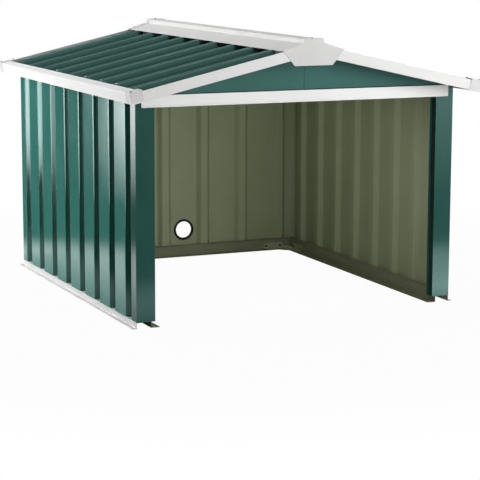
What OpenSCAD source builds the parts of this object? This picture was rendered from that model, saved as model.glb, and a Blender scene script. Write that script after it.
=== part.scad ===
// Garage for a robot lawn mower: folded and ribbed sheet steel on base rails,
// open at the front and without a floor.
// X runs to the right, Y to the back and Z up. The origin is on the ground,
// under the middle of the roof.

/* [Overall] */
// Width over the side walls
wall_w = 784; // [600:1:1200]
// Depth over the front and back faces
wall_d = 835; // [640:1:1200]
// Height of the roof's lower edge
eave_h = 519.5; // [380:0.5:900]
// Pitch of the roof, in degrees
roof_pitch = 12.7; // [8:0.1:18]
// Reach of the roof past each side wall
side_overhang = 38; // [34:1:80]
// Reach of the roof past the front and the back
end_overhang = 67.5; // [50:0.5:120]

/* [Ribbed sheets] */
// Thickness of the wall, gable and roof sheets
sheet_t = 1; // [0.7:0.1:1.5]
// Depth of a rib
rib_depth = 12; // [8:0.5:16]
// Width of a rib where it leaves the sheet
rib_mouth = 36; // [28:1:44]
// Width of the flat of a rib
rib_flat = 18; // [8:1:22]
// Ribs in each side wall
side_ribs = 8; // [6:1:10]
// Ribs in the back wall
back_ribs = 7; // [5:2:9]
// Overlap of the two gable sheets, each way from the middle
gable_lap = 8.6; // [5:0.1:20]

/* [Base rails] */
// Thickness of the rails
rail_t = 1.2; // [0.8:0.1:2]
// Ledge that carries the sheets and posts, above the ground
ledge_h = 14; // [10:0.5:20]
// Height of the rail behind the sheets
rail_h = 25.5; // [22:0.5:40]
// Width from the outer face to the inner web
rail_w = 35.5; // [26:0.5:60]
// Ground flange outside the wall
outer_flange = 9; // [5:0.5:20]
// Ground flange inside the wall
inner_flange = 19.7; // [16:0.1:30]
// Diameter of the ground peg holes
peg_hole_d = 6.5; // [4:0.1:9]
// Setback of the front peg holes from the front face
peg_setback = 10.5; // [8:0.5:30]

/* [Corner brackets] */
// Thickness of a bracket
bracket_t = 1.5; // [1:0.1:3]
// Height of a bracket's legs
bracket_h = 16.3; // [12:0.1:20]
// Distance from the row of peg holes to the edge of the floor plate
bracket_edge = 16.2; // [8:0.1:30]
// Corner that is cut off between the legs
bracket_cut = 18; // [12:1:20]
// Height of the strip that joins the legs
bracket_strip_h = 6; // [4:0.5:10]
// Inner bolt hole, from the corner
bracket_bolt_in = 29; // [26:1:36]
// Diameter of the bolt holes
bracket_bolt_d = 5.5; // [3:0.1:8]

/* [Posts] */
// Thickness of the posts
post_t = 1; // [0.8:0.1:2]
// Front face of a front post
post_face = 44.3; // [30:0.1:70]
// Flange of every post along the side wall
post_side = 29; // [15:1:30]
// Inward fold of a front post
post_return = 19; // [10:1:30]
// Lip at the end of that fold
post_lip = 5.4; // [3:0.1:8]
// Back face of a rear post
rear_face = 30; // [24:1:34]

/* [Lintels] */
// Thickness of the lintels
lintel_t = 1.2; // [0.8:0.1:2]
// Underside of the lintels below the roof's lower edge
lintel_drop = 35.5; // [30:0.5:60]
// Height of the lintels
lintel_h = 26; // [20:1:30]
// Distance from a lintel's end to the side of the wall
lintel_inset = 14; // [8:1:20]
// Width of the folded hem at a lintel's ends and foot
lintel_hem = 4; // [2:0.5:6]

/* [Top rails and ridge beam] */
// Thickness of these rails
beam_t = 1.2; // [0.8:0.1:2]
// Height of a top rail
top_rail_h = 25; // [15:1:28]
// Width of a top rail's flange
top_rail_w = 20; // [12:1:22]
// Reach of the ridge beam's sides under the roof sheets
beam_seat = 16; // [8:1:40]

/* [Roof trims] */
// Thickness of the trims
trim_t = 1.2; // [0.8:0.1:2]
// Rise of the ribs above the edge of the verge trims
rib_rise = 1; // [0.2:0.1:3]
// Height of the verge trims
verge_h = 23.5; // [18:0.5:40]
// Lip at the foot of a verge trim
verge_lip = 12; // [5:1:20]
// Flange of a verge trim that carries the roof sheet
verge_seat = 22; // [10:1:30]
// Height of the eave trims below the edge of the roof
eave_drop = 22.9; // [18:0.1:40]
// Flange of an eave trim over the ribs
eave_lap = 24; // [12:1:26]
// Lip at the foot of an eave trim
eave_lip = 8; // [4:1:12]
// Width of a corner cap across the verge
cap_w = 29.7; // [20:0.1:50]
// Length of a corner cap along the eave
cap_d = 28; // [20:1:50]
// Depth of a corner cap below the edge of the roof
cap_drop = 21; // [15:0.5:22]

/* [Ridge] */
// Rise of the ridge cap's top above the meeting of the verges
ridge_rise = 10.4; // [9:0.1:20]
// Half the width of the cap's flat top
ridge_top = 21; // [14:1:24]
// Half the width of the cap at the foot of its raised part
ridge_neck = 24; // [24:1:30]
// Height of the raised part
ridge_neck_h = 9.5; // [6:0.5:10]
// Reach of each wing from the middle
ridge_wing = 73.5; // [60:0.5:95]
// Part of each wing that lies level with the ribs
ridge_foot = 10; // [6:1:16]
// Lap of the wings over the roof sheets
ridge_lap = 4; // [2:0.5:20]
// Length of the end plates' flange over the cap
plate_lap = 22; // [12:1:40]
// Drop of the end plates below the meeting of the verges
plate_drop = 47.4; // [40:0.1:60]
// Half the width of an end plate's foot
plate_foot = 46; // [30:1:55]
// Radius of an end plate's corners
plate_r = 3; // [1:0.5:4]

/* [Cable hole] */
// Height of the cable hole's centre
cable_z = 64.4; // [58:0.1:200]
// Diameter of the grommet's flanges
grommet_d = 56.5; // [40:0.1:62]
// Overlap of each flange on the sheet
grommet_lip = 3.25; // [2:0.05:5]
// Wall of the grommet inside the hole
grommet_wall = 2.55; // [1.5:0.05:5]
// Thickness of each flange
grommet_flange = 2; // [1:0.1:4]

/* [Hidden] */
LEFT = -1;
RIGHT = 1;
FRONT = -1;
BACK = 1;
ROUND = 64;
// clearance between pieces that only lie near each other
fit_gap = 0.5;
// clearance round the grommet's core
core_gap = 0.2;

// planes of the walls, measured from the middle
face_x = wall_w / 2;
face_y = wall_d / 2;
crown_x = face_x - post_t;
crown_y = face_y - post_t;
// depth from the outer face to the inside of a rib's flat
seat = post_t + rib_depth + sheet_t;
side_pitch = wall_d / side_ribs;
back_pitch = wall_w / back_ribs;

// roof: local X runs down the slope, local Z stands square on it
roof_x = face_x + side_overhang;
roof_y = face_y + end_overhang;
pan_under = rib_rise - rib_depth - sheet_t;
eave_top = rib_rise + trim_t;
cap_top = eave_top + trim_t;
apex_z = eave_h + roof_x * tan(roof_pitch);
slope_len = (roof_x - cap_top * sin(roof_pitch)) / cos(roof_pitch);
eave_x = slope_len - trim_t;
verge_y = roof_y - trim_t;
// height of the roof sheets' underside, and of the ribs' flats, at x
function under(x) = apex_z + pan_under / cos(roof_pitch) - abs(x) * tan(roof_pitch);
function rib_top(x) = apex_z + rib_rise / cos(roof_pitch) - abs(x) * tan(roof_pitch);
// vertical thickness of a trim that lies on the slope
trim_v = trim_t / cos(roof_pitch);

wall_top = under(face_x) - fit_gap;
lintel_z = eave_h - lintel_drop;
gable_z = lintel_z + lintel_hem;
back_top = lintel_z + lintel_h - lintel_hem;

// ribbed sheets

// change of a rib's half width from one face of the sheet to the other
rib_shift = sheet_t * tan(atan2(rib_depth, (rib_mouth - rib_flat) / 2) / 2);

// one face of a ribbed sheet, from u0 to u1
function face_line(u0, u1, centres, depth, v, grow) = concat(
  [[u0, v]],
  [for (c = centres, k = [[-rib_mouth, 0], [-rib_flat, depth], [rib_flat, depth], [rib_mouth, 0]])
    [c + k[0] / 2 + sign(k[0]) * grow, v + k[1]]],
  [[u1, v]]
);

// closed outline of a ribbed sheet; negative depth turns the ribs inwards
function sheet_outline(u0, u1, centres, depth) =
  let (inner = face_line(u0, u1, centres, depth, -sheet_t, -sign(depth) * rib_shift))
  concat(
    face_line(u0, u1, centres, depth, 0, 0),
    [for (i = [len(inner) - 1 : -1 : 0]) inner[i]]
  );

function rib_centres(count, pitch) = [for (i = [0 : count - 1]) (i - (count - 1) / 2) * pitch];

// a section in Y and Z, drawn out along X from x0 to x1
module along_x(x0, x1) translate([x0, 0, 0]) rotate([90, 0, 90]) linear_extrude(x1 - x0) children();

// a section in X and Z, drawn out along Y from y0 to y1
module along_y(y0, y1) translate([0, y1, 0]) rotate([90, 0, 0]) linear_extrude(y1 - y0) children();

module side(s) mirror([s < 0 ? 1 : 0, 0, 0]) children();

module end(e) mirror([0, e > 0 ? 1 : 0, 0]) children();

// base rails

// section of a rail: distance inwards from the wall's face, and height
rail_section = [
  [-outer_flange, 0], [-outer_flange, rail_t], [0, rail_t], [0, ledge_h],
  [seat, ledge_h], [seat, rail_h], [rail_w, rail_h], [rail_w, rail_t],
  [rail_w + inner_flange, rail_t], [rail_w + inner_flange, 0], [rail_w - rail_t, 0],
  [rail_w - rail_t, rail_h - rail_t], [seat + rail_t, rail_h - rail_t],
  [seat + rail_t, ledge_h - rail_t], [rail_t, ledge_h - rail_t], [rail_t, 0]
];

// inside corner of the two inner webs, and the peg holes of a corner bracket:
// the middle one just clears the corner of the flanges
web_x = face_x - rail_w;
web_y = face_y - rail_w;
peg_mid = inner_flange + peg_hole_d / 2 + 2 * fit_gap;
peg_step = inner_flange * 0.75;
bracket_pegs = [
  [web_x - peg_mid - peg_step, web_y - peg_mid + peg_step],
  [web_x - peg_mid, web_y - peg_mid],
  [web_x - peg_mid + peg_step, web_y - peg_mid - peg_step]
];

mitre_out = outer_flange + rail_t;
mitre_in = rail_w + inner_flange + rail_t;

module peg_hole(at) translate([at[0], at[1], -rail_h]) cylinder(h = 3 * rail_h, d = peg_hole_d, $fn = ROUND);

module base_rail_side() color("#d9dad6") difference() {
  intersection() {
    along_y(-crown_y, face_y + mitre_out)
      polygon([for (p = rail_section) [face_x - p[0], p[1]]]);
    linear_extrude(rail_h) polygon([
      [face_x - mitre_in, -crown_y], [face_x + mitre_out, -crown_y],
      [face_x + mitre_out, face_y + mitre_out], [face_x - mitre_in, face_y - mitre_in]
    ]);
  }
  peg_hole([web_x - inner_flange / 2, -face_y + peg_setback]);
  for (at = bracket_pegs) peg_hole(at);
}

module base_rail_back() color("#d9dad6") difference() {
  intersection() {
    along_x(-face_x - mitre_out, face_x + mitre_out)
      polygon([for (p = rail_section) [face_y - p[0], p[1]]]);
    linear_extrude(rail_h) polygon([
      [-face_x - mitre_out, face_y + mitre_out], [face_x + mitre_out, face_y + mitre_out],
      [face_x - mitre_in, face_y - mitre_in], [mitre_in - face_x, face_y - mitre_in]
    ]);
  }
  for (s = [LEFT, RIGHT], at = bracket_pegs) peg_hole([s * at[0], at[1]]);
}

// corner brackets

bracket_r = bracket_h / 2;
bracket_end = 2 * peg_mid + sqrt(2) * bracket_edge;
bracket_mitre = bracket_t * tan(22.5);

// one leg in its own plane: distance from the corner, and height
module bracket_leg_shape() difference() {
  union() {
    polygon([
      [bracket_cut, 0], [bracket_end, 0], [bracket_end, bracket_h],
      [bracket_cut + bracket_r, bracket_h], [bracket_cut, bracket_strip_h]
    ]);
    translate([bracket_end, bracket_r]) circle(r = bracket_r, $fn = ROUND);
  }
  for (u = [bracket_bolt_in, bracket_end])
    translate([u, bracket_r]) circle(d = bracket_bolt_d, $fn = ROUND);
}

module corner_bracket() color("#5c6148") translate([web_x, web_y, rail_t]) {
  difference() {
    union() {
      linear_extrude(bracket_t) polygon([
        [-bracket_end, 0], [-bracket_cut, 0], [0, -bracket_cut], [0, -bracket_end]
      ]);
      linear_extrude(bracket_strip_h) polygon([
        [-bracket_cut, 0], [0, -bracket_cut],
        [-bracket_t, -bracket_cut - bracket_mitre], [-bracket_cut - bracket_mitre, -bracket_t]
      ]);
      rotate([90, 0, 0]) linear_extrude(bracket_t) mirror([1, 0]) bracket_leg_shape();
      translate([-bracket_t, 0, 0]) rotate([90, 0, 90]) linear_extrude(bracket_t)
        mirror([1, 0]) bracket_leg_shape();
    }
    for (at = bracket_pegs) peg_hole([at[0] - web_x, at[1] - web_y]);
  }
}

// walls

module side_wall() color("#3e7b6d") translate([0, 0, ledge_h]) linear_extrude(wall_top - ledge_h)
  polygon([
    for (p = sheet_outline(-crown_y, crown_y - sheet_t, rib_centres(side_ribs, side_pitch), -rib_depth))
      [crown_x + p[1], p[0]]
  ]);

cable_x = back_pitch / 2;
cable_hole_d = grommet_d - 2 * grommet_lip;
core_d = cable_hole_d - 2 * core_gap;
grommet_bore = core_d - 2 * grommet_wall;

module back_wall() color("#3e7b6d") difference() {
  translate([0, 0, ledge_h]) linear_extrude(back_top - ledge_h)
    polygon([
      for (p = sheet_outline(-crown_x, crown_x, rib_centres(back_ribs, back_pitch), -rib_depth))
        [p[0], crown_y + p[1]]
    ]);
  translate([cable_x, face_y, cable_z]) rotate([90, 0, 0])
    cylinder(h = 2 * seat, d = cable_hole_d, $fn = ROUND);
}

module cable_grommet() color("#111111") translate([cable_x, crown_y, cable_z]) rotate([90, 0, 0])
  rotate_extrude($fn = ROUND) polygon([
    [grommet_bore / 2, -grommet_flange], [grommet_d / 2, -grommet_flange], [grommet_d / 2, 0],
    [core_d / 2, 0], [core_d / 2, sheet_t],
    [grommet_d / 2, sheet_t], [grommet_d / 2, sheet_t + grommet_flange],
    [grommet_bore / 2, sheet_t + grommet_flange]
  ]);

// posts

post_in = face_x - post_face;

module front_post() color("#2f5a53") {
  translate([0, 0, ledge_h]) linear_extrude(wall_top - ledge_h) polygon([
    [post_in, -face_y], [face_x, -face_y], [face_x, post_side - face_y],
    [crown_x, post_side - face_y], [crown_x, -crown_y], [post_in, -crown_y]
  ]);
  translate([0, 0, ledge_h]) linear_extrude(gable_z - fit_gap - ledge_h) polygon([
    [post_in, -face_y], [post_in + post_t, -face_y], [post_in + post_t, post_return - face_y],
    [post_in - post_lip, post_return - face_y], [post_in - post_lip, post_return - post_t - face_y],
    [post_in, post_return - post_t - face_y]
  ]);
}

module rear_corner_post() color("#2f5a53") translate([0, 0, ledge_h]) linear_extrude(wall_top - ledge_h)
  polygon([
    [face_x, face_y - post_side], [face_x, face_y], [face_x - rear_face, face_y],
    [face_x - rear_face, crown_y], [crown_x, crown_y], [crown_x, face_y - post_side]
  ]);

// inner rails at the roof

rail_x = face_x - seat;
rail_y = crown_y - 2 * sheet_t - fit_gap;
beam_v = beam_t / cos(roof_pitch);
// the roof sheets stop under the ridge cap's wings and lie on the beam there
sheet_end = ridge_wing - ridge_lap;
beam_side = sheet_end + beam_seat;

module top_rail() color("#c9cbc6") along_y(-rail_y, rail_y) polygon([
  [rail_x, under(rail_x)], [rail_x - top_rail_w, under(rail_x - top_rail_w)],
  [rail_x - top_rail_w, under(rail_x - top_rail_w) - beam_v],
  [rail_x - beam_t, under(rail_x - beam_t) - beam_v],
  [rail_x - beam_t, under(rail_x) - top_rail_h], [rail_x, under(rail_x) - top_rail_h]
]);

module ridge_beam() color("#c9cbc6") along_y(2 * sheet_t - crown_y, crown_y - 2 * sheet_t) polygon([
  [-beam_side, under(beam_side)], [0, under(0)], [beam_side, under(beam_side)],
  [beam_side, under(beam_side) - beam_v], [0, under(0) - beam_v],
  [-beam_side, under(beam_side) - beam_v]
]);

// lintels and gables

lintel_x = face_x - lintel_inset;

module lintel() color("#ececec") {
  along_x(-lintel_x, lintel_x) polygon([
    [-face_y, lintel_z], [-face_y, lintel_z + lintel_h], [-face_y - lintel_t, lintel_z + lintel_h],
    [-face_y - lintel_t, lintel_z + lintel_hem], [-face_y - 2 * lintel_t, lintel_z + lintel_hem / 2],
    [-face_y - 2 * lintel_t, lintel_z]
  ]);
  for (s = [LEFT, RIGHT]) side(s) along_x(lintel_x - lintel_hem, lintel_x) polygon([
    [-face_y, lintel_z], [-face_y, lintel_z + lintel_h],
    [-face_y - 2 * lintel_t, lintel_z + lintel_h], [-face_y - 2 * lintel_t, lintel_z]
  ]);
}

// one gable sheet: foot is its lower edge, layer counts inwards from the face
module gable(foot, layer) color("#41695f")
  along_y(-crown_y + layer * sheet_t, -crown_y + (layer + 1) * sheet_t) polygon([
    [-gable_lap, foot], [crown_x - sheet_t, foot], [crown_x - sheet_t, under(crown_x - sheet_t)],
    [0, under(0)], [-gable_lap, under(gable_lap)]
  ]);

// roof

module on_slope() translate([0, 0, apex_z]) rotate([0, roof_pitch, 0]) children();

roof_centres = rib_centres(side_ribs + 1, side_pitch);

module roof_sheet() color("#2c4a45") on_slope()
  along_x(sheet_end / cos(roof_pitch), eave_x - trim_t - fit_gap)
    translate([0, pan_under + sheet_t])
      polygon(sheet_outline(2 * trim_t - verge_y, verge_y - 2 * trim_t, roof_centres, rib_depth));

module eave_trim() color("#f2f2f2") on_slope() {
  along_y(-verge_y, verge_y) polygon([
    [eave_x - eave_lap, rib_rise], [eave_x - eave_lap, eave_top], [eave_x, eave_top],
    [eave_x, -eave_drop], [eave_x - trim_t, -eave_drop], [eave_x - trim_t, rib_rise]
  ]);
  along_y(verge_lip + fit_gap - verge_y, verge_y - verge_lip - fit_gap) polygon([
    [eave_x, -eave_drop], [eave_x - eave_lip, -eave_drop],
    [eave_x - eave_lip, trim_t - eave_drop], [eave_x, trim_t - eave_drop]
  ]);
}

module verge_trim() color("#e6e6e6") intersection() {
  on_slope() along_x(-verge_h, eave_x - trim_t) translate([-verge_y, 0]) polygon([
    [0, 0], [0, -verge_h], [verge_lip, -verge_h], [verge_lip, trim_t - verge_h],
    [trim_t, trim_t - verge_h], [trim_t, pan_under - trim_t], [verge_seat, pan_under - trim_t],
    [verge_seat, pan_under], [2 * trim_t, pan_under], [2 * trim_t, 0]
  ]);
  translate([0, -roof_y, 0]) cube([roof_x, roof_y, apex_z]);
}

module corner_cap() color("#d4d4d4") on_slope() {
  translate([slope_len - cap_w, -roof_y, -cap_drop]) cube([cap_w, trim_t, cap_drop + cap_top]);
  translate([eave_x, -roof_y, -cap_drop]) cube([trim_t, cap_d, cap_drop + cap_top]);
  translate([slope_len - cap_w, -roof_y, eave_top]) cube([cap_w, cap_d, trim_t]);
}

// ridge

cap_z = apex_z + ridge_rise;
neck_z = cap_z - ridge_neck_h;
foot_x = ridge_wing - ridge_foot;

// right half of the cap's outer face, and the same line moved out by one thickness
cap_line = [
  [ridge_top, cap_z], [ridge_neck, neck_z],
  [foot_x, rib_top(foot_x) + trim_v], [ridge_wing, rib_top(ridge_wing) + trim_v]
];
cap_under = [
  [ridge_top - trim_t, cap_z - trim_t], [ridge_neck - trim_t, neck_z - trim_v],
  [foot_x, rib_top(foot_x)], [ridge_wing, rib_top(ridge_wing)]
];
plate_line = [
  [ridge_top + trim_t, cap_z + trim_t], [ridge_neck + trim_t, neck_z + trim_v],
  [foot_x, rib_top(foot_x) + 2 * trim_v], [ridge_wing + trim_t, rib_top(ridge_wing + trim_t) + 2 * trim_v]
];

function mirrored(line) = [for (i = [len(line) - 1 : -1 : 0]) [-line[i][0], line[i][1]]];

// band between two half lines, both carried over to the other side
module ridge_band(upper, lower) polygon(concat(
  mirrored(upper), upper, [for (i = [len(lower) - 1 : -1 : 0]) lower[i]],
  [for (p = lower) [-p[0], p[1]]]
));

module ridge_cap() color("#e4e4e4") along_y(-verge_y, verge_y) ridge_band(cap_line, cap_under);

// quarter-round points at a corner: centre, radius, first and last angle
function arc_points(c, r, a0, a1) = [for (i = [0 : 4]) c + r * [cos(a0 + (a1 - a0) * i / 4), sin(a0 + (a1 - a0) * i / 4)]];

// lean of the plate's slanting edges
plate_z = apex_z - plate_drop;
plate_lean = atan2(plate_line[3][1] - plate_z, plate_line[3][0] - plate_foot);
foot_centre = [plate_foot - plate_r * tan(plate_lean / 2), plate_z + plate_r];
foot_arc = arc_points(foot_centre, plate_r, plate_lean - 90, -90);

module ridge_plate() color("#d0d0d0") {
  along_y(-roof_y, -verge_y) polygon(concat(mirrored(plate_line), plate_line, foot_arc, mirrored(foot_arc)));
  along_y(-roof_y, plate_lap - roof_y) ridge_band(plate_line, cap_line);
}

side(LEFT) base_rail_side();  // base_rail_left
side(RIGHT) base_rail_side();  // base_rail_right
base_rail_back();
side(LEFT) corner_bracket();  // corner_bracket_left
side(RIGHT) corner_bracket();  // corner_bracket_right
side(LEFT) side_wall();  // side_wall_left
side(RIGHT) side_wall();  // side_wall_right
back_wall();
side(LEFT) front_post();  // front_post_left
side(RIGHT) front_post();  // front_post_right
side(LEFT) rear_corner_post();  // rear_corner_post_left
side(RIGHT) rear_corner_post();  // rear_corner_post_right
side(LEFT) top_rail();  // top_rail_left
side(RIGHT) top_rail();  // top_rail_right
ridge_beam();
end(FRONT) lintel();  // front_lintel
end(BACK) lintel();  // back_lintel
end(FRONT) side(LEFT) gable(gable_z, 0);  // gable_front_left
end(FRONT) side(RIGHT) gable(gable_z, 1);  // gable_front_right
end(BACK) side(LEFT) gable(back_top, 0);  // gable_back_left
end(BACK) side(RIGHT) gable(back_top, 1);  // gable_back_right
side(LEFT) roof_sheet();  // roof_sheet_left
side(RIGHT) roof_sheet();  // roof_sheet_right
side(LEFT) eave_trim();  // eave_trim_left
side(RIGHT) eave_trim();  // eave_trim_right
end(FRONT) side(LEFT) verge_trim();  // verge_trim_front_left
end(FRONT) side(RIGHT) verge_trim();  // verge_trim_front_right
end(BACK) side(LEFT) verge_trim();  // verge_trim_back_left
end(BACK) side(RIGHT) verge_trim();  // verge_trim_back_right
end(FRONT) side(LEFT) corner_cap();  // corner_cap_front_left
end(FRONT) side(RIGHT) corner_cap();  // corner_cap_front_right
end(BACK) side(LEFT) corner_cap();  // corner_cap_back_left
end(BACK) side(RIGHT) corner_cap();  // corner_cap_back_right
ridge_cap();
end(FRONT) ridge_plate();  // ridge_plate_front
end(BACK) ridge_plate();  // ridge_plate_back
cable_grommet();
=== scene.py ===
import bmesh
import bpy
import math
from mathutils import Matrix, Vector


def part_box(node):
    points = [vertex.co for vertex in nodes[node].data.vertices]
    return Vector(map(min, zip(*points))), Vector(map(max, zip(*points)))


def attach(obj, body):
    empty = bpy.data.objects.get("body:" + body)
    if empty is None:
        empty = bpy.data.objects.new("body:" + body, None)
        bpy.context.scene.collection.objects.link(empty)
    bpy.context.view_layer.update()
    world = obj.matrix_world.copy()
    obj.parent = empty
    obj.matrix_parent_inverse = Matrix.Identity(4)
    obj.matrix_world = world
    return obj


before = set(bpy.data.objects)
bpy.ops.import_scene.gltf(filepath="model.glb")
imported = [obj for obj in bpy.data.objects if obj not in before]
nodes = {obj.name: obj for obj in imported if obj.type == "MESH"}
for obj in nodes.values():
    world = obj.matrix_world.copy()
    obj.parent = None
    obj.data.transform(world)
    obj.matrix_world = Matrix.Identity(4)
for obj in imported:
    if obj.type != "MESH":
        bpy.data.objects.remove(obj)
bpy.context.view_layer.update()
mm = 0.001  # one millimetre in metres
sides = {"left": -1, "right": 1}
ends = {"front": -1, "back": 1}
print("frame loaded:", len(nodes), "nodes")

# the outer faces of the walls in metres, and the floors of their channels in mm
wallX = -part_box("side_wall_left")[0].x
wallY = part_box("back_wall")[1].y
channelDepthMm = 12.0
channelXMm = wallX / mm - channelDepthMm
channelYMm = wallY / mm - channelDepthMm

# the roof: apexMm is the height where its two faces meet, and flatMm is how far the flats between the ribs
# lie from the middle of the object, along the way that the roof faces
roof = dict(pitchDeg=12.7, apexMm=616.4, trimMm=1.2, ribRiseMm=1.0, ribPitchMm=104.375, ribDepthMm=12.0,
            flatMm=590.3)
roofTilt = math.radians(roof["pitchDeg"])
roofWay = (math.sin(roofTilt), 0, math.cos(roofTilt))


def fromHex(code):
    channels = [int(code[i:i + 2], 16) / 255 for i in (1, 3, 5)]
    linear = [c / 12.92 if c <= 0.04045 else ((c + 0.055) / 1.055) ** 2.4 for c in channels]
    return (*linear, 1.0)


def perMetre(sizeMm):
    return 1000.0 / sizeMm  # a texture scale that repeats about every sizeMm


def addNode(tree, kind, settings=None, inputs=None, links=None):
    node = tree.nodes.new(kind)
    for name, value in (settings or {}).items():
        setattr(node, name, value)
    for name, value in (inputs or {}).items():
        node.inputs[name].default_value = value
    for name, (source, output) in (links or {}).items():
        tree.links.new(source.outputs[output], node.inputs[name])
    return node


def newMaterial(name):
    material = bpy.data.materials.new(name)
    material.use_nodes = True
    material.node_tree.nodes.clear()
    return material, material.node_tree


def varyRoughness(tree, rough, spread, noise):
    # most values of a noise lie between 0.3 and 0.7, and over that span the roughness strays both ways
    span = {"From Min": 0.3, "From Max": 0.7, "To Min": rough - spread, "To Max": rough + spread}
    return addNode(tree, "ShaderNodeMapRange", inputs=span, links={"Value": (noise, "Fac")})


# what the ways of coating have in common: the width and height in mm of their orange peel, how strongly and
# in what colour they mirror, and how much clear layer lies over them
rollerCoat = dict(peelMm=3.0, peelHeightMm=0.003, specular=0.5, tint="#d8fffb", clear=0.0)
powderCoat = dict(peelMm=2.2, peelHeightMm=0.006, specular=0.4, tint="#ffffff", clear=0.0)
backCoat = dict(peelMm=1.6, peelHeightMm=0.010, specular=0.3, tint="#ffffff", clear=0.0)
# the foot of a channel or rib, painted darker as shade and made rougher, which fades out between two heights
# in mm above its floor
channelFoot = dict(fromMm=2.5, toMm=7.0, colour="#173a34", rough=0.22)
ribFoot = dict(fromMm=1.7, toMm=10.7, colour="#10302a", rough=0.34)

coatings = {
    # wall sheets and rear corner posts, outside: roller-coated polyester over zinc, smooth and fairly glossy
    "wallGreen": dict(rollerCoat, name="Roller Coated Polyester Green",
                      base="#37796f", pale="#3d7f75", rough=0.13, driftMm=160, clear=0.15),
    # sides of the channels: the walls' green painted darker as shade, darker still at the foot, also painted
    # shade, and matt there
    "channelGreenPaintedShade": dict(rollerCoat, name="Roller Coated Polyester Green Painted Shade",
                         base="#1f4c44", pale="#245149", rough=0.11, driftMm=160,
                         foot=dict(channelFoot, way=(1, 0, 0), floorMm=channelXMm)),
    "backChannelGreenPaintedShade": dict(rollerCoat, name="Roller Coated Polyester Green Painted Shade Back",
                             base="#1f4c44", pale="#245149", rough=0.11, driftMm=160,
                             foot=dict(channelFoot, way=(0, 1, 0), floorMm=channelYMm)),
    # roof sheets: the walls' coating in a darker green, half matt, with painted shade along the foot of the
    # ribs
    "roofGreen": dict(rollerCoat, name="Roller Coated Polyester Dark Green",
                      base="#34625a", pale="#3a675f", rough=0.24, driftMm=140, specular=0.45, tint="#c8fffa",
                      foot=dict(ribFoot, way=roofWay, floorMm=roof["flatMm"])),
    # flats of the roof: darker than the ribs, a painted shade, with hardly any gloss
    "roofFlatPaintedShade": dict(rollerCoat, name="Roller Coated Polyester Dark Green Painted Shade",
                     base="#2c5950", pale="#316057", rough=0.30, driftMm=140, specular=0.2, tint="#b3fff9"),
    # front posts: coil-coated strip, folded after coating, with a deep even gloss
    "postGreen": dict(rollerCoat, name="Coil Coated Strip Green",
                      base="#27504a", pale="#2b564f", rough=0.13, driftMm=180, clear=0.1),
    # room side of the front posts: the green painted dark as shade, almost without gloss
    "postPaintedShade": dict(rollerCoat, name="Coil Coated Strip Green Painted Shade", peelMm=2.0, peelHeightMm=0.006,
                      base="#14251f", pale="#182b25", rough=0.5, driftMm=120, specular=0.15, tint="#b3fff9"),
    # gables: coil-coated flat sheet, greyer and softer in its gloss than the walls
    "gableGreen": dict(rollerCoat, name="Coil Coated Flat Sheet Green", base="#395e58", pale="#3e645e",
                       rough=0.32, driftMm=180, specular=0.3, tint="#b3fff9"),
    # reverse of every sheet, and the corner brackets: a thin backing coat, rolled on and matt
    "backingOlive": dict(backCoat, name="Backing Coat Olive", peelHeightMm=0.012,
                         base="#899071", pale="#91987a", rough=0.55, driftMm=120),
    # top rails, and the room side of the base rails: a greyer backing coat with a slight sheen
    "railOlive": dict(backCoat, name="Backing Coat Grey Olive",
                      base="#6b6d56", pale="#73755e", rough=0.36, driftMm=90, specular=0.4),
    # ridge beam: black, a painted shade for the gaps under the ridge cap, matt
    "ridgeGapShadeBlack": dict(backCoat, name="Ridge Gap Painted Shade Black",
                        base="#101211", pale="#171918", rough=0.6, driftMm=90, specular=0.2),
    # eave trims and lintels: powder coat baked on after folding, with a faint orange peel
    "trimWhite": dict(powderCoat, name="Powder Coated Steel White",
                      base="#f2f2f1", pale="#f5f5f4", rough=0.42, driftMm=110),
    # verge trims: the same white powder, painted darker as shade
    "vergeWhitePaintedShade": dict(powderCoat, name="Powder Coated Steel White Painted Shade",
                       base="#e6e6e5", pale="#ebebea", rough=0.42, driftMm=110),
    # ridge cap, its end plates and the corner caps: pale grey powder coat
    "capGrey": dict(powderCoat, name="Powder Coated Steel Pale Grey",
                    base="#d5d5d4", pale="#dcdcdb", rough=0.45, driftMm=60),
    # base rails, outside: white powder coat, painted greyer than the trims as shade near the ground
    "railWhitePaintedShade": dict(powderCoat, name="Powder Coated Rail White",
                      base="#d3d1d0", pale="#dbdad9", rough=0.42, driftMm=80),
}

# the film of a coating: speckleShare is how much the pigment's speckle counts beside the slow drift, and the
# colour goes from base to pale as their sum goes from paleFrom to paleTo
film = dict(speckleMm=2.5, speckleShare=0.35, paleFrom=0.45, paleTo=0.90, roughSpread=0.04)


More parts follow.
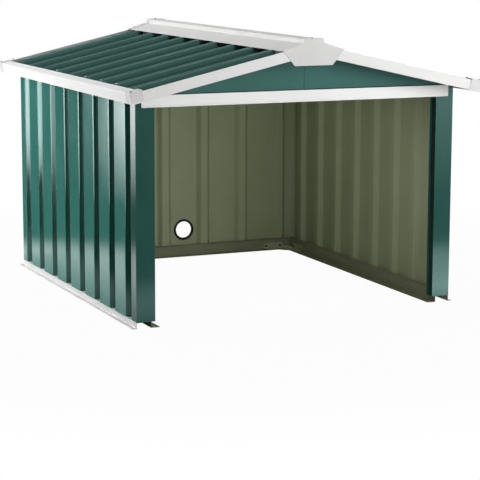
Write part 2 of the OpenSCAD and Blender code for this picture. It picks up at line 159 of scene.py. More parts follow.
def makeCoating(name, base, pale, rough, peelMm, peelHeightMm, driftMm, specular, tint, clear, foot=None):
    material, tree = newMaterial(name)
    place = addNode(tree, "ShaderNodeTexCoord")
    # slow drift of the film's thickness, which shows as a faint change of colour and gloss
    drift = addNode(tree, "ShaderNodeTexNoise",
                    inputs={"Scale": perMetre(driftMm), "Detail": 3.0, "Roughness": 0.55},
                    links={"Vector": (place, "Object")})
    # fine speckle of the pigment, drawn coarser than it is so that it shows
    speckle = addNode(tree, "ShaderNodeTexNoise",
                      inputs={"Scale": perMetre(film["speckleMm"]), "Detail": 2.0, "Roughness": 0.7},
                      links={"Vector": (place, "Object")})
    blend = addNode(tree, "ShaderNodeMath", {"operation": "MULTIPLY_ADD"}, {1: film["speckleShare"]},
                    {0: (speckle, "Fac"), 2: (drift, "Fac")})
    ramp = addNode(tree, "ShaderNodeMapRange",
                   inputs={"From Min": film["paleFrom"], "From Max": film["paleTo"]},
                   links={"Value": (blend, "Value")})
    colour = addNode(tree, "ShaderNodeMix", {"data_type": "RGBA"}, {6: fromHex(base), 7: fromHex(pale)},
                     {"Factor": (ramp, "Result")})
    gloss = varyRoughness(tree, rough, film["roughSpread"], drift)
    peel = addNode(tree, "ShaderNodeTexNoise",
                   inputs={"Scale": perMetre(peelMm), "Detail": 1.5, "Roughness": 0.5},
                   links={"Vector": (place, "Object")})
    bump = addNode(tree, "ShaderNodeBump", inputs={"Strength": 1.0, "Distance": peelHeightMm * mm},
                   links={"Height": (peel, "Fac")})
    finish = {"Base Color": (colour, 2), "Roughness": (gloss, "Result"), "Normal": (bump, "Normal")}
    if foot:
        # how far a point lies from the middle of the object along one way, the same on both sides
        mirrored = addNode(tree, "ShaderNodeVectorMath", {"operation": "ABSOLUTE"},
                           links={0: (place, "Object")})
        height = addNode(tree, "ShaderNodeVectorMath", {"operation": "DOT_PRODUCT"}, {1: foot["way"]},
                         {0: (mirrored, "Vector")})
        rise = addNode(tree, "ShaderNodeMapRange", {"interpolation_type": "SMOOTHSTEP"},
                       {"From Min": (foot["floorMm"] + foot["fromMm"]) * mm,
                        "From Max": (foot["floorMm"] + foot["toMm"]) * mm}, {"Value": (height, "Value")})
        # towards the floor of a channel or rib the colour darkens: a painted shade
        footShade = addNode(tree, "ShaderNodeMix", {"data_type": "RGBA"}, {6: fromHex(foot["colour"])},
                         {"Factor": (rise, "Result"), 7: (colour, 2)})
        matt = addNode(tree, "ShaderNodeMix", {"data_type": "FLOAT"}, {2: foot["rough"]},
                       {"Factor": (rise, "Result"), 3: (gloss, "Result")})
        finish.update({"Base Color": (footShade, 2), "Roughness": (matt, 0)})
    shader = addNode(tree, "ShaderNodeBsdfPrincipled",
                     inputs={"Specular IOR Level": specular, "Specular Tint": fromHex(tint),
                             "Coat Weight": clear, "Coat Roughness": 0.08}, links=finish)
    addNode(tree, "ShaderNodeOutputMaterial", links={"Surface": (shader, "BSDF")})
    return material


paint = {key: makeCoating(**values) for key, values in coatings.items()}

smallParts = {
    # screws in the sheets: cold-headed steel with bright zinc plating that has dulled a little
    "zinc": dict(name="Dulled Zinc Plated Steel",
                 base="#b4b1a4", dark="#7d7a6e", rough=0.42, metallic=1.0, grainMm=0.8),
    # screws in the trims and bolts in the brackets: black phosphated steel, dark and nearly matt
    "blackSteel": dict(name="Black Phosphated Steel",
                       base="#35322d", dark="#1a1816", rough=0.5, metallic=0.6, grainMm=0.6),
    # dark strips beside the gable laps and on the lintels: painted shadow lines, matt
    "shadowStripDark": dict(name="Painted Shadow Strip Dark",
                  base="#10211f", dark="#0a1614", rough=0.7, metallic=0.0, grainMm=1.5),
    # ring in the cable hole and fillers under the ridge cap: moulded rubber with a fine matt skin
    "rubber": dict(name="Moulded EPDM Rubber",
                   base="#0b0b0b", dark="#060606", rough=0.6, metallic=0.0, grainMm=1.2),
}

# the skin of the small parts: the height of its grain, and how far the roughness strays with it
surface = dict(heightMm=0.01, roughSpread=0.06)


def makeSmallPart(name, base, dark, rough, metallic, grainMm):
    material, tree = newMaterial(name)
    place = addNode(tree, "ShaderNodeTexCoord")
    grain = addNode(tree, "ShaderNodeTexNoise",
                    inputs={"Scale": perMetre(grainMm), "Detail": 3.0, "Roughness": 0.6},
                    links={"Vector": (place, "Object")})
    colour = addNode(tree, "ShaderNodeMix", {"data_type": "RGBA"}, {6: fromHex(dark), 7: fromHex(base)},
                     {"Factor": (grain, "Fac")})
    gloss = varyRoughness(tree, rough, surface["roughSpread"], grain)
    bump = addNode(tree, "ShaderNodeBump", inputs={"Strength": 1.0, "Distance": surface["heightMm"] * mm},
                   links={"Height": (grain, "Fac")})
    shader = addNode(tree, "ShaderNodeBsdfPrincipled", inputs={"Metallic": metallic},
                     links={"Base Color": (colour, 2), "Roughness": (gloss, "Result"),
                            "Normal": (bump, "Normal")})
    addNode(tree, "ShaderNodeOutputMaterial", links={"Surface": (shader, "BSDF")})
    return material


paint.update({key: makeSmallPart(**values) for key, values in smallParts.items()})
print("materials made:", len(paint))


def coat(node, outer, inner=None, isOuter=None, second=None, isSecond=None):
    # outer covers the whole piece, or the faces that isOuter picks; second goes on those that isSecond picks
    mesh = nodes[node].data
    mesh.materials.clear()
    for key in (outer, inner, second):
        if key:
            mesh.materials.append(paint[key])
    for face in mesh.polygons:
        face.material_index = 0 if inner is None or isOuter(face) else 1
        if second and face.material_index == 0 and isSecond(face):
            face.material_index = 2


# how faces are told apart: the outside takes in what is seen edge-on, and what lies flat on a sheet leans
# less than about 26 degrees from the way that the sheet faces
faceLimits = dict(edgeOn=-0.02, flat=0.9)


def facing(x, y, z):
    way = Vector((x, y, z))
    return lambda face: face.normal.dot(way) > faceLimits["edgeOn"]


def turnedFrom(x, y, z):
    # the sides of the ribs and channels, which stand at an angle to the sheet
    way = Vector((x, y, z)).normalized()
    return lambda face: abs(face.normal.dot(way)) < faceLimits["flat"]


def onFlats(x, y, z, levelMm):
    # the flats between the ribs, which lie below a level measured from the middle of the object
    way = Vector((x, y, z))
    flat = faceLimits["flat"]
    return lambda face: abs(face.normal.dot(way)) > flat and abs(face.center.dot(way)) < levelMm * mm


weldMm = 0.005  # corners closer than this are one corner


def weldFaces(node):
    # joins the faces of a piece along its edges and makes each flat one whole, ready for rounding
    weld = nodes[node].modifiers.new("joinedFaces", "WELD")
    weld.merge_threshold = weldMm * mm
    whole = nodes[node].modifiers.new("wholeFaces", "DECIMATE")
    whole.decimate_type = "DISSOLVE"
    whole.angle_limit = math.radians(1.0)
    whole.delimit = {"MATERIAL"}


def evenShading(node, cutDeg=None):
    for face in nodes[node].data.polygons:
        face.use_smooth = True
    if cutDeg:  # cut edges stay crisp
        split = nodes[node].modifiers.new("cutEdges", "EDGE_SPLIT")
        split.split_angle = math.radians(cutDeg)
        split.use_edge_sharp = False
    even = nodes[node].modifiers.new("evenShading", "WEIGHTED_NORMAL")
    even.keep_sharp = True
    even.weight = 60  # the larger a face, the more it sets the shading


def edgeKey(first, second):
    # an edge is known by its two ends, to a tenth of a millimetre
    return frozenset(tuple(round(c / mm, 1) for c in point) for point in (first, second))


# sheets: how far each fold is drawn in, for the folds that stand out and the hollow ones, how many facets
# round it off, the angles that count as a fold, how closely a fold follows the axis that is asked for, and
# the angle from which an edge is a cut one
sheetFolds = dict(wallMm=2.0, wallHollowMm=1.5, roofMm=1.3, roofHollowMm=1.3, segments=6,
                  fromDeg=30, toDeg=70, alongAxis=0.98, cutDeg=28)


def foldSheet(node, isOuter, part, axis=None):
    # rounds the folds of a sheet, on walls only the upright ones, and leaves its cut edges sharp
    mesh = nodes[node].data
    radiusMm = sheetFolds[part + "Mm"]
    hollow = sheetFolds[part + "HollowMm"] / radiusMm
    work = bmesh.new()
    work.from_mesh(mesh)
    bmesh.ops.remove_doubles(work, verts=work.verts, dist=weldMm * mm)
    folds = {}
    for edge in work.edges:
        turn = math.degrees(edge.calc_face_angle(0.0)) if len(edge.link_faces) == 2 else 0.0
        run = (edge.verts[1].co - edge.verts[0].co).normalized()
        along = axis is None or abs(run.dot(axis)) > sheetFolds["alongAxis"]
        if sheetFolds["fromDeg"] < turn < sheetFolds["toDeg"] and along:
            standsOut = edge.is_convex == isOuter(edge.link_faces[0])
            folds[edgeKey(edge.verts[0].co, edge.verts[1].co)] = 1.0 if standsOut else hollow
    work.free()
    points = [vertex.co for vertex in mesh.vertices]
    weights = [folds.get(edgeKey(points[edge.vertices[0]], points[edge.vertices[1]]), 0.0)
               for edge in mesh.edges]
    layer = mesh.attributes.new("bevel_weight_edge", "FLOAT", "EDGE")
    layer.data.foreach_set("value", weights)
    weldFaces(node)
    bend = nodes[node].modifiers.new("roundedFolds", "BEVEL")
    bend.limit_method = "WEIGHT"
    bend.width = radiusMm * mm
    bend.segments = sheetFolds["segments"]
    bend.use_clamp_overlap = False
    evenShading(node, sheetFolds["cutDeg"])


upright = Vector((0, 0, 1))
for side, s in sides.items():
    wall = "side_wall_" + side
    # the sides of the channels take the darker coat, a painted shade
    coat(wall, "wallGreen", "backingOlive", facing(s, 0, 0), "channelGreenPaintedShade", turnedFrom(s, 0, 0))
    foldSheet(wall, facing(s, 0, 0), "wall", upright)
    slope = "roof_sheet_" + side
    isFlat = onFlats(s * roofWay[0], 0, roofWay[2], roof["flatMm"] + roof["ribDepthMm"] / 2)
    # the flats between the ribs take the darker coat, a painted shade
    coat(slope, "roofGreen", "backingOlive", facing(0, 0, 1), "roofFlatPaintedShade", isFlat)
    foldSheet(slope, facing(0, 0, 1), "roof")
# the sides of the back wall's channels take the darker coat, a painted shade
coat("back_wall", "wallGreen", "backingOlive", facing(0, 1, 0), "backChannelGreenPaintedShade", turnedFrom(0, 1, 0))
foldSheet("back_wall", facing(0, 1, 0), "wall", upright)

# width in mm of the soft edge on each folded piece
edgeWidths = dict(verge=0.5, cap=0.55, lintel=0.4, plate=0.5, post=0.4, eave=0.55, rail=0.45, bracket=0.4,
                  ridge=0.55, grommet=0.8)


def softenEdges(node, kind):
    weldFaces(node)
    edge = nodes[node].modifiers.new("softEdges", "BEVEL")
    edge.limit_method = "ANGLE"
    edge.angle_limit = math.radians(25)  # only real corners, not the facets of a curve
    edge.width = edgeWidths[kind] * mm
    edge.segments = 3
    edge.use_clamp_overlap = False
    evenShading(node)


for end, e in ends.items():
    for side in sides:
        corner = end + "_" + side
        coat("gable_" + corner, "gableGreen", "backingOlive", facing(0, e, 0))
        # the verge trims take the darker copy of the white, a painted shade
        coat("verge_trim_" + corner, "vergeWhitePaintedShade")
        softenEdges("verge_trim_" + corner, "verge")
        coat("corner_cap_" + corner, "capGrey")
        softenEdges("corner_cap_" + corner, "cap")
    coat(end + "_lintel", "trimWhite")
    softenEdges(end + "_lintel", "lintel")
    coat("ridge_plate_" + end, "capGrey")
    softenEdges("ridge_plate_" + end, "plate")

for side, s in sides.items():
    # the outside of a front post takes in its front, and that of a rear corner post its back
    # the room side of a front post takes the dark coat, a painted shade
    coat("front_post_" + side, "postGreen", "postPaintedShade", facing(s, -0.6, 0))
    softenEdges("front_post_" + side, "post")
    coat("rear_corner_post_" + side, "wallGreen", "backingOlive", facing(s, 0.9, 0))
    softenEdges("rear_corner_post_" + side, "post")
    coat("eave_trim_" + side, "trimWhite")
    softenEdges("eave_trim_" + side, "eave")
    coat("top_rail_" + side, "railOlive")
    softenEdges("top_rail_" + side, "rail")
    coat("corner_bracket_" + side, "backingOlive")
    softenEdges("corner_bracket_" + side, "bracket")
coat("ridge_cap", "capGrey")
softenEdges("ridge_cap", "ridge")
# the beam is black as painted shade in the gaps under the ridge cap
coat("ridge_beam", "ridgeGapShadeBlack")
coat("cable_grommet", "rubber")
softenEdges("cable_grommet", "grommet")

# the white part of a base rail: below topMm, and within reachMm of the walls' outer faces
railFront = dict(topMm=16.0, reachMm=16.0, facing=0.5)


def isRailFront(face):
    # the faces seen from outside are white, and the room side keeps the backing coat
    low = face.center.z < railFront["topMm"] * mm
    reach = railFront["reachMm"] * mm
    outward = abs(face.center.x) > wallX - reach or face.center.y > wallY - reach
    out = max(face.normal.x * (1 if face.center.x > 0 else -1), face.normal.y)
    return low and outward and (face.normal.z > railFront["facing"] or out > railFront["facing"])


for node in ("base_rail_left", "base_rail_right", "base_rail_back"):
    # the outside of the base rails is painted greyer, a painted shade near the ground
    coat(node, "railWhitePaintedShade", "railOlive", isRailFront)
    softenEdges(node, "rail")
print("coatings assigned")


def addRing(work, radius, height, count, where=Matrix()):
    ring = []
    for i in range(count):
        angle = 2 * math.pi * i / count
        spot = Vector((radius * math.cos(angle), radius * math.sin(angle), height))
        ring.append(work.verts.new(where @ spot))
    return ring


def joinRings(work, low, high):
    for i in range(len(low)):
        j = (i + 1) % len(low)
        work.faces.new((low[i], low[j], high[j], high[i]))


# a pan head on a washer, in mm: crown gives how far in and how far down each ring of the head lies, and the
# recess is a cross whose arms reach armMm from the middle
screw = dict(headMm=7.0, headHeightMm=2.0, crown=((0.0, 1.1), (0.35, 0.7), (1.1, 0.2), (1.9, 0.0)),
             washerMm=9.0, washerHeightMm=0.8, washerEdge=0.7, washerSlopeMm=0.3, facets=24,
             armMm=1.4, armDepthMm=1.3, coreMm=0.55, coreDepthMm=0.1, armWidth=0.45)


def screwMesh(work, place, normal, size):
    turn = Vector((0, 0, 1)).rotation_difference(Vector(normal).normalized()).to_matrix().to_4x4()
    where = Matrix.Translation(Vector(place) * mm) @ turn @ Matrix.Scale(size * mm, 4)
    head = screw["headMm"] / 2
    washer = screw["washerMm"] / 2
    lift = screw["washerHeightMm"]
    top = lift + screw["headHeightMm"]
    profile = [(washer, 0.0), (washer, lift * screw["washerEdge"]), (washer - screw["washerSlopeMm"], lift),
               (head, lift)]
    profile += [(head - inward, top - down) for inward, down in screw["crown"]]
    rings = [addRing(work, radius, height, screw["facets"], where) for radius, height in profile]
    for low, high in zip(rings, rings[1:]):
        joinRings(work, low, high)
    # the inner ring drops into the head at the four arms of the cross
    floor = []
    for i in range(screw["facets"]):
        angle = 2 * math.pi * i / screw["facets"]
        inArm = abs(math.sin(2 * angle)) < screw["armWidth"]
        radius = screw["armMm"] if inArm else screw["coreMm"]
        depth = top - (screw["armDepthMm"] if inArm else screw["coreDepthMm"])
        spot = Vector((radius * math.cos(angle), radius * math.sin(angle), depth))
        floor.append(work.verts.new(where @ spot))
    joinRings(work, rings[-1], floor)
    work.faces.new(floor)


def addPiece(name, build, material):
    work = bmesh.new()
    build(work)
    bmesh.ops.recalc_face_normals(work, faces=work.faces)
    mesh = bpy.data.meshes.new(name)
    work.to_mesh(mesh)
    work.free()
    mesh.materials.append(paint[material])
    for face in mesh.polygons:
        face.use_smooth = True
    piece = bpy.data.objects.new(name, mesh)
    bpy.context.scene.collection.objects.link(piece)
    sharp = piece.modifiers.new("sharpEdges", "EDGE_SPLIT")
    sharp.split_angle = math.radians(40)  # the facets of round parts stay smooth
    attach(piece, "root")


def onRoof(x, y, layers=0):
    # a point on the ribs, or on the trims that lie on them, and the way that it faces
    lift = (roof["ribRiseMm"] + layers * roof["trimMm"]) / math.cos(roofTilt)
    side = 1 if x > 0 else -1
    place = (x, y, roof["apexMm"] + lift - abs(x) * math.tan(roofTilt))
    return place, (side * roofWay[0], 0, roofWay[2])


# past the ends of the ridge beam, rubber fillers close the gap between the roof sheets and the ridge cap,
# from lowMm to highMm along the way that the roof faces
ridgeFillers = dict(innerX=56.0, outerX=69.0, nearY=417.0, farY=461.5, lowMm=578.0, highMm=602.0)


def buildRidgeFillers(work):
    for s in sides.values():
        for e in ends.values():
            corners = []
            for x in (ridgeFillers["innerX"], ridgeFillers["outerX"]):
                for level in (ridgeFillers["lowMm"], ridgeFillers["highMm"]):
                    z = (level - x * roofWay[0]) / roofWay[2]
                    for y in (ridgeFillers["nearY"], ridgeFillers["farY"]):
                        corners.append(work.verts.new(Vector((s * x, e * y, z)) * mm))
            bmesh.ops.convex_hull(work, input=corners)


# near the eaves the sheets are screwed down through some of their ribs, counted from the middle one
roofScrews = dict(fromRidgeMm=395, ribs=(-3, -2, -1, 1), size=0.62)


def buildRoofScrews(work):
    for s in sides.values():
        for rib in roofScrews["ribs"]:
            place, normal = onRoof(s * roofScrews["fromRidgeMm"], rib * roof["ribPitchMm"])
            screwMesh(work, place, normal, roofScrews["size"])


# one screw in each corner cap, each verge trim and each end of the ridge cap, and one in each wing of the
# back ridge plate
trimScrews = dict(capX=424, capY=479, vergeX=392, vergeY=478, wingX=58, wingY=477, ridgeY=474, ridgeZ=628.0,
                  size=0.6)


def buildTrimScrews(work):
    for s in sides.values():
        for e in ends.values():
            spots = [onRoof(s * trimScrews["capX"], e * trimScrews["capY"], 2),
                     onRoof(s * trimScrews["vergeX"], e * trimScrews["vergeY"], 1)]
            if e == ends["back"]:
                spots.append(onRoof(s * trimScrews["wingX"], e * trimScrews["wingY"], 2))
            for place, normal in spots:
                screwMesh(work, place, normal, trimScrews["size"])
    for e in ends.values():
        screwMesh(work, (0, e * trimScrews["ridgeY"], trimScrews["ridgeZ"]), (0, 0, 1), trimScrews["size"])


# the walls are screwed to the rail at the foot of every channel
footScrews = dict(heightMm=20.0, sideCount=8, sidePitch=104.4, backCount=7, backPitch=112.0, size=0.62)


def rowOf(count, pitch):
    return [(i - (count - 1) / 2) * pitch for i in range(count)]


def buildFootScrews(work):
    for s in sides.values():
        for y in rowOf(footScrews["sideCount"], footScrews["sidePitch"]):
            screwMesh(work, (s * channelXMm, y, footScrews["heightMm"]), (s, 0, 0), footScrews["size"])
    for x in rowOf(footScrews["backCount"], footScrews["backPitch"]):
        screwMesh(work, (x, channelYMm, footScrews["heightMm"]), (0, 1, 0), footScrews["size"])


# two bolts through each leg of the corner brackets, and one screw where the rails lap in the corner
bracketBolts = dict(heightMm=9.35, backY=380.0, backX=(285.7, 327.5), sideX=354.5, sideY=(311.2, 353.0),
                    corner=(367, 393, 25.5), size=0.62)


def buildBracketBolts(work):
    size = bracketBolts["size"]
    height = bracketBolts["heightMm"]
    cornerX, cornerY, cornerZ = bracketBolts["corner"]
    for s in sides.values():
        for x in bracketBolts["backX"]:
            screwMesh(work, (s * x, bracketBolts["backY"], height), (0, -1, 0), size)
        for y in bracketBolts["sideY"]:
            screwMesh(work, (s * bracketBolts["sideX"], y, height), (-s, 0, 0), size)
        screwMesh(work, (s * cornerX, cornerY, cornerZ), (0, 0, 1), size)


# where the two halves of a gable lap, the upper one ends at edgeX in a small rolled hem, with a dark strip
# beside it as a painted shadow line; another dark strip, also a painted shadow, lies along the top of the
# lintel, from one post to the other
gableLap = dict(edgeX=8.6, faceY=416.5, underY=415.5, hemMm=2.6, hemRiseMm=0.9, hemFacets=8,
                shadowStripMm=2.0, shadowStripRiseMm=0.4, shadowStripSlopeMm=0.3,
                lowMm=488.0, highMm=603.0, lintelTopMm=510.0, endX=376.0)


def stripMesh(work, profile, low, high):
    # a strip that stands upright between two heights, from the outline of its section
    foot, top = [[work.verts.new(Vector((x, y, z)) * mm) for x, y in profile] for z in (low, high)]
    joinRings(work, foot, top)
    work.faces.new(foot)
    work.faces.new(top[::-1])


def buildGableHems(work):
    for e in ends.values():
        profile = []
        for i in range(gableLap["hemFacets"] + 1):
            angle = math.pi * i / gableLap["hemFacets"]
            x = gableLap["edgeX"] - gableLap["hemMm"] / 2 * (1 + math.cos(angle))
            profile.append((x, e * (gableLap["faceY"] + gableLap["hemRiseMm"] * math.sin(angle))))
        stripMesh(work, profile, gableLap["lowMm"], gableLap["highMm"])


# dark strips that stand in for the shadow lines in the gable laps and along the lintels
def buildGableShadowStrips(work):
    lap, post = gableLap["edgeX"], gableLap["endX"]
    lintelTop = gableLap["lintelTopMm"]
    for e in ends.values():
        # along the lintel, on the face of each half
        for left, right, base in ((-post, lap, gableLap["faceY"]), (lap, post, gableLap["underY"])):
            face = base + gableLap["shadowStripRiseMm"]
            corners = ((left, e * base), (right, e * base), (right, e * face), (left, e * face))
            stripMesh(work, corners, lintelTop, lintelTop + gableLap["shadowStripMm"])
        # up beside the lap, on the face of the lower half
        far = lap + gableLap["shadowStripMm"]
        farFace = far - gableLap["shadowStripSlopeMm"]
        base = gableLap["underY"]
        face = base + gableLap["shadowStripRiseMm"]
        corners = ((lap, e * base), (far, e * base), (farFace, e * face), (lap, e * face))
        stripMesh(work, corners, gableLap["lowMm"], gableLap["highMm"])


addPiece("ridge_fillers", buildRidgeFillers, "rubber")
addPiece("roof_screws", buildRoofScrews, "zinc")
addPiece("trim_screws", buildTrimScrews, "blackSteel")
addPiece("foot_screws", buildFootScrews, "zinc")
addPiece("bracket_bolts", buildBracketBolts, "blackSteel")
addPiece("gable_hems", buildGableHems, "wallGreen")
addPiece("gable_shadow_strips", buildGableShadowStrips, "shadowStripDark")
print("fillers, screws, bolts and lap seams made")

plainWhite = (1, 1, 1, 1)
smooth = {"interpolation_type": "SMOOTHSTEP"}


def stageObject(name, mesh, material, onlyMirrored=True):
    thing = bpy.data.objects.new(name, mesh)
    bpy.context.scene.collection.objects.link(thing)
    mesh.materials.append(material)
    if onlyMirrored:  # it shows in gloss and nowhere else
        thing.visible_camera = False
        thing.visible_diffuse = False
        thing.visible_shadow = False
        thing.visible_transmission = False
    return thing


def panelMesh(name, width, height):
    mesh = bpy.data.meshes.new(name)
    w, h = width / 2, height / 2
    mesh.from_pydata([(-w, -h, 0), (w, -h, 0), (w, h, 0), (-w, h, 0)], [], [(0, 1, 2, 3)])
    return mesh


# floor, in metres from the middle: the camera sees it turn white from whiteFrom on; in gloss it is a pool of
# light that ends at poolRadius, is darker near the footprint of the walls as a painted shade, and has one
# brighter patch
floorLook = dict(size=60.0, colour="#9c9c9c", paperGlow=0.97, whiteFrom=1.0, whiteFade=0.6,
                 grainMm=40, poolRadius=0.75, poolFade=0.28, poolGlow=0.88, poolEnd=0.02,
                 footprint=(0.40, 0.42, 0.0), nearFade=0.18, nearGlow=0.05,
                 patch=(0.56, -0.75, 0.0), patchRadius=0.20, patchFade=0.30, patchGlow=3.0)


def addFloor():
    look = floorLook
    material, tree = newMaterial("Studio Floor White")
    place = addNode(tree, "ShaderNodeTexCoord")
    path = addNode(tree, "ShaderNodeLightPath")
    grain = addNode(tree, "ShaderNodeTexNoise", inputs={"Scale": perMetre(look["grainMm"]), "Detail": 2.0},
                    links={"Vector": (place, "Object")})
    gloss = addNode(tree, "ShaderNodeMapRange", inputs={"To Min": 0.8, "To Max": 0.95},
                    links={"Value": (grain, "Fac")})
    lit = addNode(tree, "ShaderNodeBsdfPrincipled",
                  inputs={"Base Color": fromHex(look["colour"]), "Specular IOR Level": 0.1},
                  links={"Roughness": (gloss, "Result")})
    reach = addNode(tree, "ShaderNodeVectorMath", {"operation": "LENGTH"}, links={0: (place, "Object")})
    # the camera sees white paper, which keeps a soft part of the shadow near the object
    paper = addNode(tree, "ShaderNodeEmission", inputs={"Color": plainWhite, "Strength": 1.0})
    clean = addNode(tree, "ShaderNodeMapRange", smooth,
                    {"From Min": look["whiteFrom"], "From Max": look["whiteFrom"] + look["whiteFade"],
                     "To Min": look["paperGlow"], "To Max": 1.0}, {"Value": (reach, "Value")})
    shadowed = addNode(tree, "ShaderNodeMixShader",
                       links={"Fac": (clean, "Result"), 1: (lit, 0), 2: (paper, 0)})
    # in gloss the lit floor ends in the dark of the studio a step away from the object
    pool = addNode(tree, "ShaderNodeMapRange", smooth,
                   {"From Min": look["poolRadius"], "From Max": look["poolRadius"] + look["poolFade"]},
                   {"Value": (reach, "Value")})
    unlit = addNode(tree, "ShaderNodeEmission", inputs={"Color": plainWhite, "Strength": look["poolEnd"]})
    # it is darker close to the walls, a painted shade, by the distance outside their footprint
    mirrored = addNode(tree, "ShaderNodeVectorMath", {"operation": "ABSOLUTE"}, links={0: (place, "Object")})
    outside = addNode(tree, "ShaderNodeVectorMath", {"operation": "SUBTRACT"}, {1: look["footprint"]},
                      {0: (mirrored, "Vector")})
    axes = addNode(tree, "ShaderNodeSeparateXYZ", links={"Vector": (outside, "Vector")})
    nearest = addNode(tree, "ShaderNodeMath", {"operation": "MAXIMUM"},
                      links={0: (axes, "X"), 1: (axes, "Y")})
    near = addNode(tree, "ShaderNodeMapRange",
                   inputs={"From Min": 0.0, "From Max": look["nearFade"],
                           "To Min": look["nearGlow"], "To Max": look["poolGlow"]},
                   links={"Value": (nearest, "Value")})
    glow = addNode(tree, "ShaderNodeEmission", inputs={"Color": plainWhite},
                   links={"Strength": (near, "Result")})
    bright = addNode(tree, "ShaderNodeAddShader", links={0: (lit, 0), 1: (glow, 0)})
    pooled = addNode(tree, "ShaderNodeMixShader",
                     links={"Fac": (pool, "Result"), 1: (bright, 0), 2: (unlit, 0)})
    # a patch of light on the floor, which the foot of the right-hand post shows
    patchReach = addNode(tree, "ShaderNodeVectorMath", {"operation": "DISTANCE"}, {1: look["patch"]},
                         {0: (place, "Object")})
    patchEdge = look["patchRadius"]
    patchRamp = addNode(tree, "ShaderNodeMapRange", smooth,
                        {"From Min": patchEdge, "From Max": patchEdge + look["patchFade"],
                         "To Min": look["patchGlow"], "To Max": 0.0}, {"Value": (patchReach, "Value")})
    patch = addNode(tree, "ShaderNodeEmission", inputs={"Color": plainWhite},
                    links={"Strength": (patchRamp, "Result")})
    patched = addNode(tree, "ShaderNodeAddShader", links={0: (pooled, 0), 1: (patch, 0)})
    inGloss = addNode(tree, "ShaderNodeMixShader",
                      links={"Fac": (path, "Is Glossy Ray"), 1: (lit, 0), 2: (patched, 0)})
    seen = addNode(tree, "ShaderNodeMixShader",
                   links={"Fac": (path, "Is Camera Ray"), 1: (inGloss, 0), 2: (shadowed, 0)})
    addNode(tree, "ShaderNodeOutputMaterial", links={"Surface": (seen, "Shader")})
    mesh = panelMesh("studioFloor", look["size"], look["size"])
    stageObject("studioFloor", mesh, material, onlyMirrored=False)


# wall of the studio, in metres: its glow goes from lowGlow to highGlow between two heights
wallLook = dict(radius=5.0, height=2.6, facets=48, lowGlow=0.015, highGlow=0.02,
                fromHeight=0.25, toHeight=1.35)


def addStudioWall():
    work = bmesh.new()
    foot = addRing(work, wallLook["radius"], 0.0, wallLook["facets"])
    top = addRing(work, wallLook["radius"], wallLook["height"], wallLook["facets"])
    joinRings(work, foot, top)
    mesh = bpy.data.meshes.new("studioWall")
    work.to_mesh(mesh)
    work.free()
    material, tree = newMaterial("Studio Wall Dark Cloth")
    place = addNode(tree, "ShaderNodeTexCoord")
    axes = addNode(tree, "ShaderNodeSeparateXYZ", links={"Vector": (place, "Object")})
    glow = addNode(tree, "ShaderNodeMapRange", smooth,
                   {"From Min": wallLook["fromHeight"], "From Max": wallLook["toHeight"],
                    "To Min": wallLook["lowGlow"], "To Max": wallLook["highGlow"]}, {"Value": (axes, "Z")})
    cloth = addNode(tree, "ShaderNodeEmission", inputs={"Color": plainWhite},
                    links={"Strength": (glow, "Result")})
    addNode(tree, "ShaderNodeOutputMaterial", links={"Surface": (cloth, "Emission")})
    stageObject("studioWall", mesh, material)


# panels seen only in gloss: place is their middle, faces the way that they look, and size their width and
# height; each fades in from its side and from its foot over the two spans, all in metres
cards = {
    "cardBackLeft": dict(place=(-1.85, 1.40, 0.70), faces=(0.0, -1.0), size=(2.0, 1.4), glow=4.0,
                         sideFade=(0.92, 0.79), footFade=(-0.72, -0.42)),
    "cardCorner": dict(place=(-1.75, 1.38, 0.70), faces=(0.0, -1.0), size=(1.0, 1.4), glow=14.0,
                       sideFade=(0.42, 0.20), footFade=(-0.66, -0.45)),
    "cardLeft": dict(place=(-2.05, -0.40, 0.75), faces=(1.0, 0.0), size=(1.3, 1.5), glow=19.0,
                     sideFade=(-0.63, -0.38), footFade=(-0.85, -0.60)),
    "cardFrontRight": dict(place=(1.0, -1.55, 0.70), faces=(0.0, 1.0), size=(2.4, 1.4), glow=2.0,
                           sideFade=(1.15, 0.1), footFade=(-0.66, -0.20)),
}


def addCard(name, place, faces, size, glow, sideFade, footFade):
    material, tree = newMaterial("Studio Card " + name)
    spot = addNode(tree, "ShaderNodeTexCoord")
    axes = addNode(tree, "ShaderNodeSeparateXYZ", links={"Vector": (spot, "Object")})
    across = addNode(tree, "ShaderNodeMapRange", smooth,
                     {"From Min": sideFade[0], "From Max": sideFade[1]}, {"Value": (axes, "X")})
    up = addNode(tree, "ShaderNodeMapRange",
                 inputs={"From Min": footFade[0], "From Max": footFade[1], "To Min": 0.0, "To Max": glow},
                 links={"Value": (axes, "Y")})
    both = addNode(tree, "ShaderNodeMath", {"operation": "MULTIPLY"},
                   links={0: (across, "Result"), 1: (up, "Result")})
    lamp = addNode(tree, "ShaderNodeEmission", inputs={"Color": plainWhite},
                   links={"Strength": (both, "Value")})
    addNode(tree, "ShaderNodeOutputMaterial", links={"Surface": (lamp, "Emission")})
    card = stageObject(name, panelMesh(name, *size), material)
    stand = Matrix.Rotation(math.pi / 2, 4, "X")  # the card's face now looks along -Y
    turn = Matrix.Rotation(math.atan2(faces[1], faces[0]) + math.pi / 2, 4, "Z")
    card.matrix_world = Matrix.Translation(place) @ turn @ stand


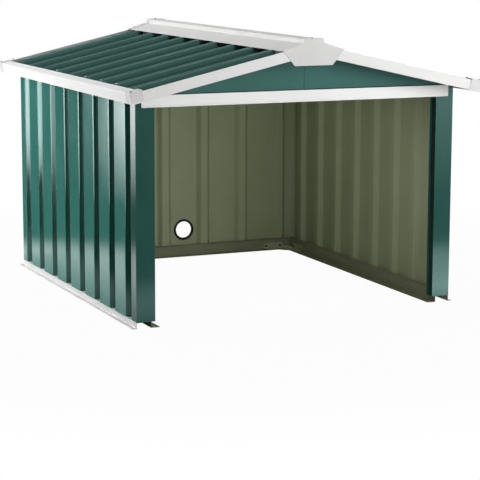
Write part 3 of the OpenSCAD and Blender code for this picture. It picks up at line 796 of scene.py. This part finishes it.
# lamps: place is the middle of the panel, size is its width and height in metres, glow its brightness
softboxes = {
    "keyLeft": dict(place=(-2.6, 0.8, 0.85), aim=(0.0, 0.0, 0.3), size=(2.2, 1.8), glow=2.15),
    "frontRight": dict(place=(2.2, -2.4, 0.8), aim=(0.0, 0.0, 0.3), size=(1.6, 1.4), glow=5.6),
    "rightSide": dict(place=(2.9, 0.8, 1.2), aim=(0.0, 0.0, 0.3), size=(2.0, 1.6), glow=3.0),
    "backSide": dict(place=(0.3, 2.9, 1.2), aim=(0.0, 0.0, 0.3), size=(2.0, 1.6), glow=3.0),
    "frontMid": dict(place=(1.2, -3.1, 1.15), aim=(0.0, -0.4, 0.4), size=(1.6, 1.4), glow=3.6),
    "frontLow": dict(place=(0.3, -2.8, 0.25), aim=(0.2, 0.0, 0.5), size=(1.8, 0.4), glow=5.2),
    "keyBack": dict(place=(-1.6, 1.6, 0.65), aim=(-0.3, 0.2, 0.3), size=(1.2, 1.1), glow=6.4),
    "overhead": dict(place=(-0.3, 0.3, 3.0), aim=(0.0, 0.0, 0.5), size=(2.4, 2.4), glow=1.8),
    "opening": dict(place=(0.0, -0.43, 0.24), aim=(0.0, 1.0, 0.24), size=(0.62, 0.42), glow=1.05),
    "inside": dict(place=(0.0, -0.02, 0.478), aim=(0.0, -0.02, 0.0), size=(0.6, 0.7), glow=0.5),
}


def addSoftbox(name, place, aim, size, glow):
    data = bpy.data.lights.new(name, "AREA")
    data.shape = "RECTANGLE"
    data.size, data.size_y = size
    data.energy = glow * math.pi * size[0] * size[1]
    light = bpy.data.objects.new(name, data)
    light.location = place
    light.rotation_euler = (Vector(aim) - Vector(place)).to_track_quat("-Z", "Y").to_euler()
    light.visible_glossy = False
    light.visible_camera = False
    bpy.context.scene.collection.objects.link(light)


ambientGlow = 0.08  # how strongly the surroundings light the object


def addWorld():
    # what shows past the stage is plain white, while nearly all light on the object comes from the lamps
    world = bpy.data.worlds.new("studioWorld")
    bpy.context.scene.world = world
    world.use_nodes = True
    tree = world.node_tree
    tree.nodes.clear()
    path = addNode(tree, "ShaderNodeLightPath")
    either = addNode(tree, "ShaderNodeMath", {"operation": "MAXIMUM"},
                     links={0: (path, "Is Camera Ray"), 1: (path, "Is Glossy Ray")})
    shown = addNode(tree, "ShaderNodeMath", {"operation": "MAXIMUM"},
                    links={0: (either, "Value"), 1: (path, "Is Transmission Ray")})
    soft = addNode(tree, "ShaderNodeBackground", inputs={"Color": plainWhite, "Strength": ambientGlow})
    plain = addNode(tree, "ShaderNodeBackground", inputs={"Color": plainWhite, "Strength": 1.0})
    mix = addNode(tree, "ShaderNodeMixShader", links={"Fac": (shown, "Value"), 1: (soft, 0), 2: (plain, 0)})
    addNode(tree, "ShaderNodeOutputWorld", links={"Surface": (mix, "Shader")})


# camera: its heading is measured from +Y towards +X
view = dict(place=(-1.725, -3.989, 0.855), headingDeg=23.857, downDeg=9.785, rollDeg=0.175, lensMm=133.74,
            sensorMm=36.0, clipStart=0.1, clipEnd=200)


def addCamera():
    data = bpy.data.cameras.new("camera")
    data.sensor_width = view["sensorMm"]
    data.lens = view["lensMm"]
    data.clip_start = view["clipStart"]
    data.clip_end = view["clipEnd"]
    camera = bpy.data.objects.new("camera", data)
    heading = math.radians(view["headingDeg"])
    down = math.radians(view["downDeg"])
    level = math.cos(down)
    forward = Vector((math.sin(heading) * level, math.cos(heading) * level, -math.sin(down)))
    aim = forward.to_track_quat("-Z", "Y").to_matrix().to_4x4()
    roll = Matrix.Rotation(math.radians(view["rollDeg"]), 4, "Z")
    camera.matrix_world = Matrix.Translation(view["place"]) @ aim @ roll
    bpy.context.scene.collection.objects.link(camera)
    bpy.context.scene.camera = camera


addFloor()
addStudioWall()
for name, values in cards.items():
    addCard(name, **values)
for name, values in softboxes.items():
    addSoftbox(name, **values)
addWorld()
addCamera()
bpy.context.scene.view_settings.view_transform = "Standard"
print("studio ready")
